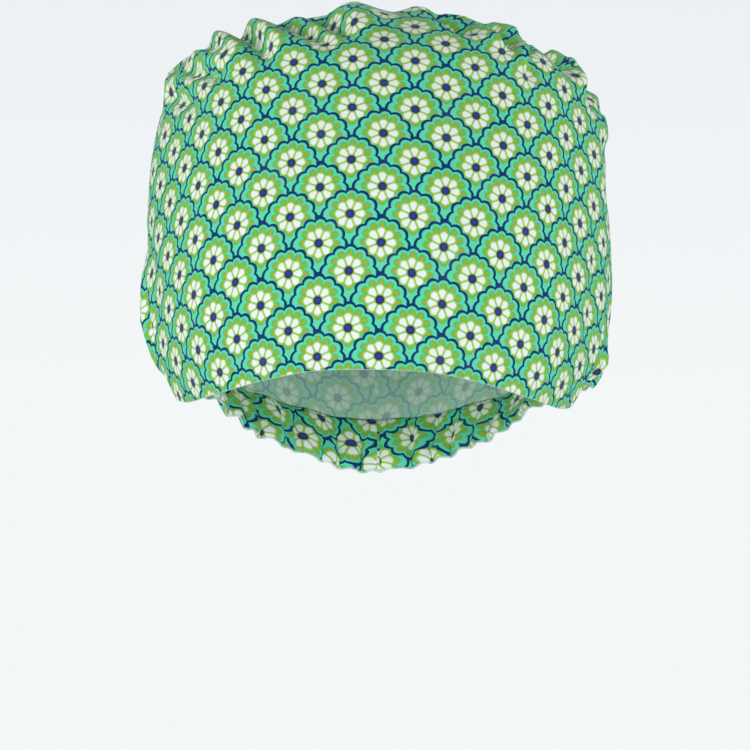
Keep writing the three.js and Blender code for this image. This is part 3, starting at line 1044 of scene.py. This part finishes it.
# %% [markdown]
# ## Stitches
#
# A row of lock stitches holds the casing and another the hem, in thread of the cloth's own green.
# Each is a short thread that dips into the cloth at both ends. A painted dashed line would be lost
# in the print, while a raised thread catches the light as a real one does.

# %% Shape one stitch
STITCH, STITCH_GAP, STITCH_RADIUS = 2.2, 0.5, 0.17  # millimetres; the last is the thread's radius
STITCH_SIDES, STITCH_RINGS = 6, 7
STITCH_ARCH, STITCH_DIP = 1.3, 0.6  # rise of its middle over its ends, and their dip, in radii
END_SHARE = 0.45  # share of the radius that is left at its ends
UNDER = 5.0  # millimetres under a stitch lie the places that tell which way is out


def one_stitch(column, level, depth, inward):
    """Points of one thread, as STITCH_SIDES rows of STITCH_RINGS points."""
    arch = np.sin(math.pi * np.linspace(0, 1, STITCH_RINGS))
    centre = on_wall(column, level, depth + inward * STITCH_RADIUS * (arch * STITCH_ARCH - STITCH_DIP))
    ahead = unit(np.gradient(centre, axis=0))
    out = unit(centre - on_wall(column, level, depth + UNDER))
    side = np.cross(ahead, out)
    thick = STITCH_RADIUS * (END_SHARE + (1 - END_SHARE) * arch)[:, None]
    turns = 2 * math.pi * np.arange(STITCH_SIDES) / STITCH_SIDES
    return [centre + thick * (math.cos(turn) * out + math.sin(turn) * side) for turn in turns]


def stitch_faces(base):
    """Faces of one stitch whose first point has the number base."""
    faces = []
    for k in range(STITCH_SIDES):
        here, other = base + k * STITCH_RINGS, base + (k + 1) % STITCH_SIDES * STITCH_RINGS
        for j in range(STITCH_RINGS - 1):
            faces.append((here + j, here + j + 1, other + j + 1, other + j))
    faces.append(tuple(base + k * STITCH_RINGS for k in range(STITCH_SIDES)))
    last = base + STITCH_RINGS - 1
    faces.append(tuple(last + k * STITCH_RINGS for k in reversed(range(STITCH_SIDES))))
    return faces


print("faces of a stitch:", len(stitch_faces(0)))

# %% [markdown]
# ## Rows of stitches
#
# A sewing machine feeds the cloth by the same amount for each stitch. So the row is measured along
# the folded cloth, not by the angle round the head, and the stitches follow every gather. Copies
# made by a modifier would slide off it, so each is laid on its own.

# %% Sew the stitches
MEASURED_PLACES = 2000  # along each row


def sew(name, from_azimuth, to_azimuth, level, depth, inward):
    """A row of stitches at a level; inward is 1 for a row on the cloth's inner face, or -1."""
    at = np.linspace(from_azimuth, to_azimuth, MEASURED_PLACES)
    path = on_wall((at + 180) / 360 * AROUND, level)
    length = added_up(np.linalg.norm(np.diff(path, axis=0), axis=-1), 0)
    starts = np.arange(0, length[-1] - STITCH, STITCH + STITCH_GAP)
    points, faces = [], []
    for start in starts:
        angles = np.interp(start + np.linspace(0, STITCH, STITCH_RINGS), length, at)
        faces += stitch_faces(len(points) * STITCH_RINGS)
        points += one_stitch((angles + 180) / 360 * AROUND, level, depth, inward)
    print(name, len(starts), "stitches")
    return add_mesh(name, np.concatenate(points), faces, (thread,), {})


casing_stitches = sew("casing_stitches", TEMPLE + 3, 360 - TEMPLE - 3,
                      level=HEM_TOP - 0.06, depth=0.0, inward=-1)
hem_stitches = sew("hem_stitches", -TEMPLE, TEMPLE, level=HEM_TOP - 0.2, depth=1.55, inward=1)

# %% [markdown]
# ## Join the looks to the frame
#
# The frame's plain solids give the cap its size and its collision, and the cloth stands for them.
# A table lists the cloth that each piece was cut from, and each piece's cut area is printed beside the
# area it was made with.

# %% Replace the frame's solids
for piece in root_pieces:
    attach(piece, "root")
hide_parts("crown_wall")
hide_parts("crown_top")
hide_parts("brow_hem")
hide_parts("nape_casing")


# columns: piece, cut width, cut height, cut area, how it is held, stitches that go with it
CUTS = (
    (wall, 0.610, 0.175, 0.0900, "gathered", []),
    (top, 0.128, 0.100, 0.0100, "gathered", []),
    (hem, 0.270, 0.018, 0.0048, "folded", [hem_stitches]),
    (casing, 0.380, 0.018, 0.0068, "gathered", [casing_stitches]),
)
for piece, wide, tall, area, held, stitches in CUTS:
    made = sum(face.area for face in piece.data.polygons) / 2
    print(f"{piece.name}: cut {area * 1e4:.0f} square cm, made {made * 1e4:.0f}")

# %% [markdown]
# ## Floor
#
# A paper floor runs far behind the cap and fades into the surround, so that no line crosses the
# picture. A curved backdrop would do the same, but it would stand in the way of a view from behind.
# The cap hangs above it at the height of a head, and so it throws no hard shadow.

# %% Lay the floor
FLOOR_DROP, FLOOR_SIZE = 0.26, 1.9  # metres under the cap's lowest point, and its radius
floor_height = cad_low[2] - FLOOR_DROP
bpy.ops.mesh.primitive_circle_add(
    vertices=96, radius=FLOOR_SIZE, fill_type="NGON", location=(0, 0, floor_height))
floor = bpy.context.object
floor.name = "floor"
print("floor at", round(float(floor_height), 3), "m")

# %% [markdown]
# ## The floor's paper
#
# The paper is plain and matt, with a trace of its own light so that it keeps the tone of the
# surround. It turns clear towards its rim, and on its under side, so that the cap can be seen from
# below. A mask painted by hand would do it too, but a distance from the middle says it in one line.

# %% Paint the floor and fade its rim
FADE_START, FADE_END = 0.4, 1.8  # metres from its middle between which it fades away
FLOOR_COLOUR = (0.80, 0.83, 0.85, 1)
floor_paint = bpy.data.materials.new("floor")
floor_paint.use_nodes = True
tree = floor_paint.node_tree
calc = calculator(tree)
paper = tree.nodes["Principled BSDF"]
paper.inputs["Base Color"].default_value = FLOOR_COLOUR
paper.inputs["Roughness"].default_value = 0.9
paper.inputs["Emission Color"].default_value = FLOOR_COLOUR
paper.inputs["Emission Strength"].default_value = 0.06
place = tree.nodes.new("ShaderNodeTexCoord")
length = tree.nodes.new("ShaderNodeVectorMath")
length.operation = "LENGTH"
tree.links.new(place.outputs["Object"], length.inputs[0])
past = calc("SUBTRACT", length.outputs["Value"], FADE_START)
far = calc("DIVIDE", past, FADE_END - FADE_START, clamp=True)
under_side = tree.nodes.new("ShaderNodeNewGeometry")
gone = calc("MAXIMUM", far, under_side.outputs["Backfacing"])
clear = tree.nodes.new("ShaderNodeBsdfTransparent")
mixed = tree.nodes.new("ShaderNodeMixShader")
tree.links.new(gone, mixed.inputs[0])
tree.links.new(paper.outputs[0], mixed.inputs[1])
tree.links.new(clear.outputs[0], mixed.inputs[2])
tree.links.new(mixed.outputs[0], tree.nodes["Material Output"].inputs["Surface"])
floor.data.materials.append(floor_paint)
print("the floor fades from", FADE_START, "to", FADE_END, "m")

# %% [markdown]
# ## Light
#
# A studio for a pale print is bright and even: a wide soft light on each side, a weaker one in front
# and one behind. Harder light would show the folds more, but it would burn the white petals. The
# surround fills the shadows; it is shown brighter than it lights, or the folds would vanish.

# %% Colour the surround
SURROUND_LOW, SURROUND_HIGH = linear(243, 247, 248), linear(236, 240, 243)
SURROUND_TURN = 0.075  # height, for one unit outward, at which the high colour is reached
FILL = 0.30  # share of the surround's light that reaches the cloth
world = bpy.data.worlds.new("surround")
bpy.context.scene.world = world
world.use_nodes = True
tree = world.node_tree
calc, paint = calculator(tree), painter(tree)
sky = tree.nodes["Background"]
direction = tree.nodes.new("ShaderNodeTexCoord")
upward = tree.nodes.new("ShaderNodeSeparateXYZ")
tree.links.new(direction.outputs["Generated"], upward.inputs[0])
high_share = calc("DIVIDE", upward.outputs[2], SURROUND_TURN, clamp=True)
tree.links.new(paint(high_share, SURROUND_LOW, SURROUND_HIGH), sky.inputs["Color"])
rays = tree.nodes.new("ShaderNodeLightPath")
strength = calc("MULTIPLY_ADD", rays.outputs["Is Camera Ray"], 1 - FILL, FILL)
tree.links.new(strength, sky.inputs["Strength"])
print("the surround fills with", FILL)

# %% [markdown]
# ## Lamps
#
# Four square softboxes stand round the cap, and a table keeps them in view together. Their places
# are measured from the middle of the cap, so they move with it. Small lamps would put a hard edge
# on every fold's shadow, and cotton in a studio has none.

# %% Light it
# columns: name, place from the middle of the cap, size, power; all are aimed at the cap
LIGHTS = (
    ("left_softbox", (-2.0, -0.91, 0.00), 1.4, 24.0),
    ("right_softbox", (2.0, -0.91, -0.05), 1.4, 22.0),
    ("front_softbox", (-0.1, -2.31, 0.05), 1.2, 16.2),
    ("back_softbox", (0.3, 1.99, 0.85), 1.6, 14.0),
)
for name, place, size, power in LIGHTS:
    lamp = bpy.data.lights.new(name, "AREA")
    lamp.size = size
    lamp.energy = power
    light = bpy.data.objects.new(name, lamp)
    light.location = cad_middle + np.array(place)
    light.rotation_euler = Vector(-np.array(place)).to_track_quat("-Z", "Y").to_euler()
    bpy.context.scene.collection.objects.link(light)
bpy.context.scene.view_settings.view_transform = "Standard"
print(len(LIGHTS), "soft lights")

# %% [markdown]
# ## Camera
#
# The camera stands level with the brow and two metres off, as for a portrait: nearer, and the front
# would swell. It looks straight ahead and leans one degree, because the cap sits a little askew.

# %% Set the camera and finish
CAMERA_AWAY = 2.0
CAMERA_UP = 0.0382  # above the cap's lowest point, so just under the height of the brow's edge
CAMERA_LEAN = -1.0  # degrees
FIELD = 0.285  # width of the picture at the cap, in metres
SENSOR = 36.0
camera_data = bpy.data.cameras.new("camera")
camera_data.sensor_width = SENSOR
camera_data.lens = SENSOR * CAMERA_AWAY / FIELD
camera = bpy.data.objects.new("camera", camera_data)
camera.location = (cad_middle[0], -CAMERA_AWAY, cad_low[2] + CAMERA_UP)
camera.rotation_euler = (math.radians(90), math.radians(CAMERA_LEAN), 0)
bpy.context.scene.collection.objects.link(camera)
bpy.context.scene.camera = camera

print("frame box:", [list(np.round(corner, 4)) for corner in cad_box])
